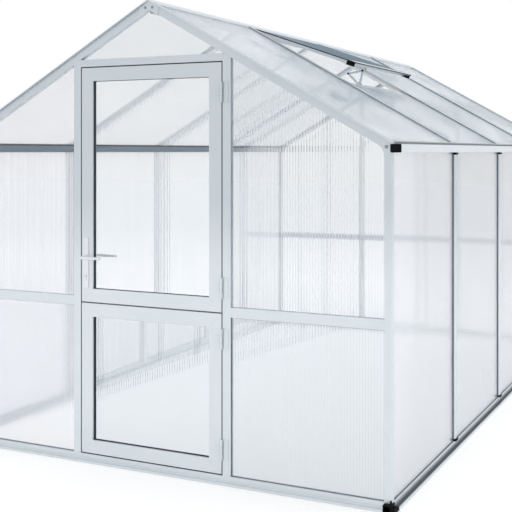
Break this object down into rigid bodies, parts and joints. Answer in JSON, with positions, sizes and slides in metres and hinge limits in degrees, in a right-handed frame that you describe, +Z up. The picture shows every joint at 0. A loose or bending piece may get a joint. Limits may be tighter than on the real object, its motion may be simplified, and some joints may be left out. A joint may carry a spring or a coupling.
{
  "type": "polycarbonate greenhouse",
  "caption": "Gabled aluminium greenhouse with twin-wall polycarbonate sheets, a two-leaf stable door with lever, eave gutters and an open roof vent.",
  "frame": {"origin": "centre of the plan at ground level, under the ridge", "axes": "+X to the right seen from the door side, +Y from the door gable to the rear gable along the ridge, +Z up"},
  "size_m": [2.58, 4.288, 2.3136],
  "materials": {
    "aluminium": "mill finish, satin",
    "polycarbonate": "translucent twin-wall sheet, glossy",
    "black_plastic": "moulded, matt",
    "brushed_steel": "brushed"
  },
  "bodies": {
    "house": {"base_rails_gable": "aluminium", "base_rails_side": "aluminium", "base_corner_caps": "black_plastic", "corner_posts": "aluminium", "door_posts": "aluminium", "door_head": "aluminium", "front_transoms": "aluminium", "back_mullions": "aluminium", "back_transoms": "aluminium", "front_rafters": "aluminium", "back_rafters": "aluminium", "ridge_beam": "aluminium", "ridge_cover": "aluminium", "gusset_plates": "aluminium", "eave_beams": "aluminium", "gutters": "aluminium", "gutter_end_caps": "black_plastic", "eave_closers": "aluminium", "side_posts": "aluminium", "side_cover_strips": "aluminium", "strip_caps": "black_plastic", "roof_bars": "aluminium", "roof_cover_strips": "aluminium", "front_panels": "polycarbonate", "front_gable_panel": "polycarbonate", "back_panels": "polycarbonate", "side_sheets": "polycarbonate", "roof_sheets": "polycarbonate", "vent_trimmer": "aluminium", "vent_sash": "aluminium", "vent_pane": "polycarbonate", "vent_caps": "black_plastic", "vent_openers": "aluminium", "frame_hinges": "aluminium"},
    "upper_door": {"upper_leaf_stiles": "aluminium", "upper_leaf_rails": "aluminium", "upper_leaf_pane": "polycarbonate", "upper_leaf_hinges": "aluminium", "handle_plates": "brushed_steel", "lock_cylinder": "brushed_steel"},
    "lower_door": {"lower_leaf_stiles": "aluminium", "lower_leaf_rails": "aluminium", "lower_leaf_pane": "polycarbonate", "lower_leaf_hinges": "aluminium"},
    "lever": {"lever_handle": "brushed_steel"}
  },
  "joints": [
    {"name": "upper_door_swing", "type": "hinge", "parent": "house", "child": "upper_door", "pos_m": [0.4044, -2.109, 1.386], "axis": [0, 0, 1], "range_deg": [0, 110]},
    {"name": "lower_door_swing", "type": "hinge", "parent": "house", "child": "lower_door", "pos_m": [0.4044, -2.109, 0.423], "axis": [0, 0, 1], "range_deg": [0, 110]},
    {"name": "lever_turn", "type": "hinge", "parent": "upper_door", "child": "lever", "pos_m": [-0.3728, -2.1, 1.035], "axis": [0, 1, 0], "range_deg": [0, 40], "stiffness_Nm_per_rad": 1.5, "springref_deg": -11.46}
  ]
}
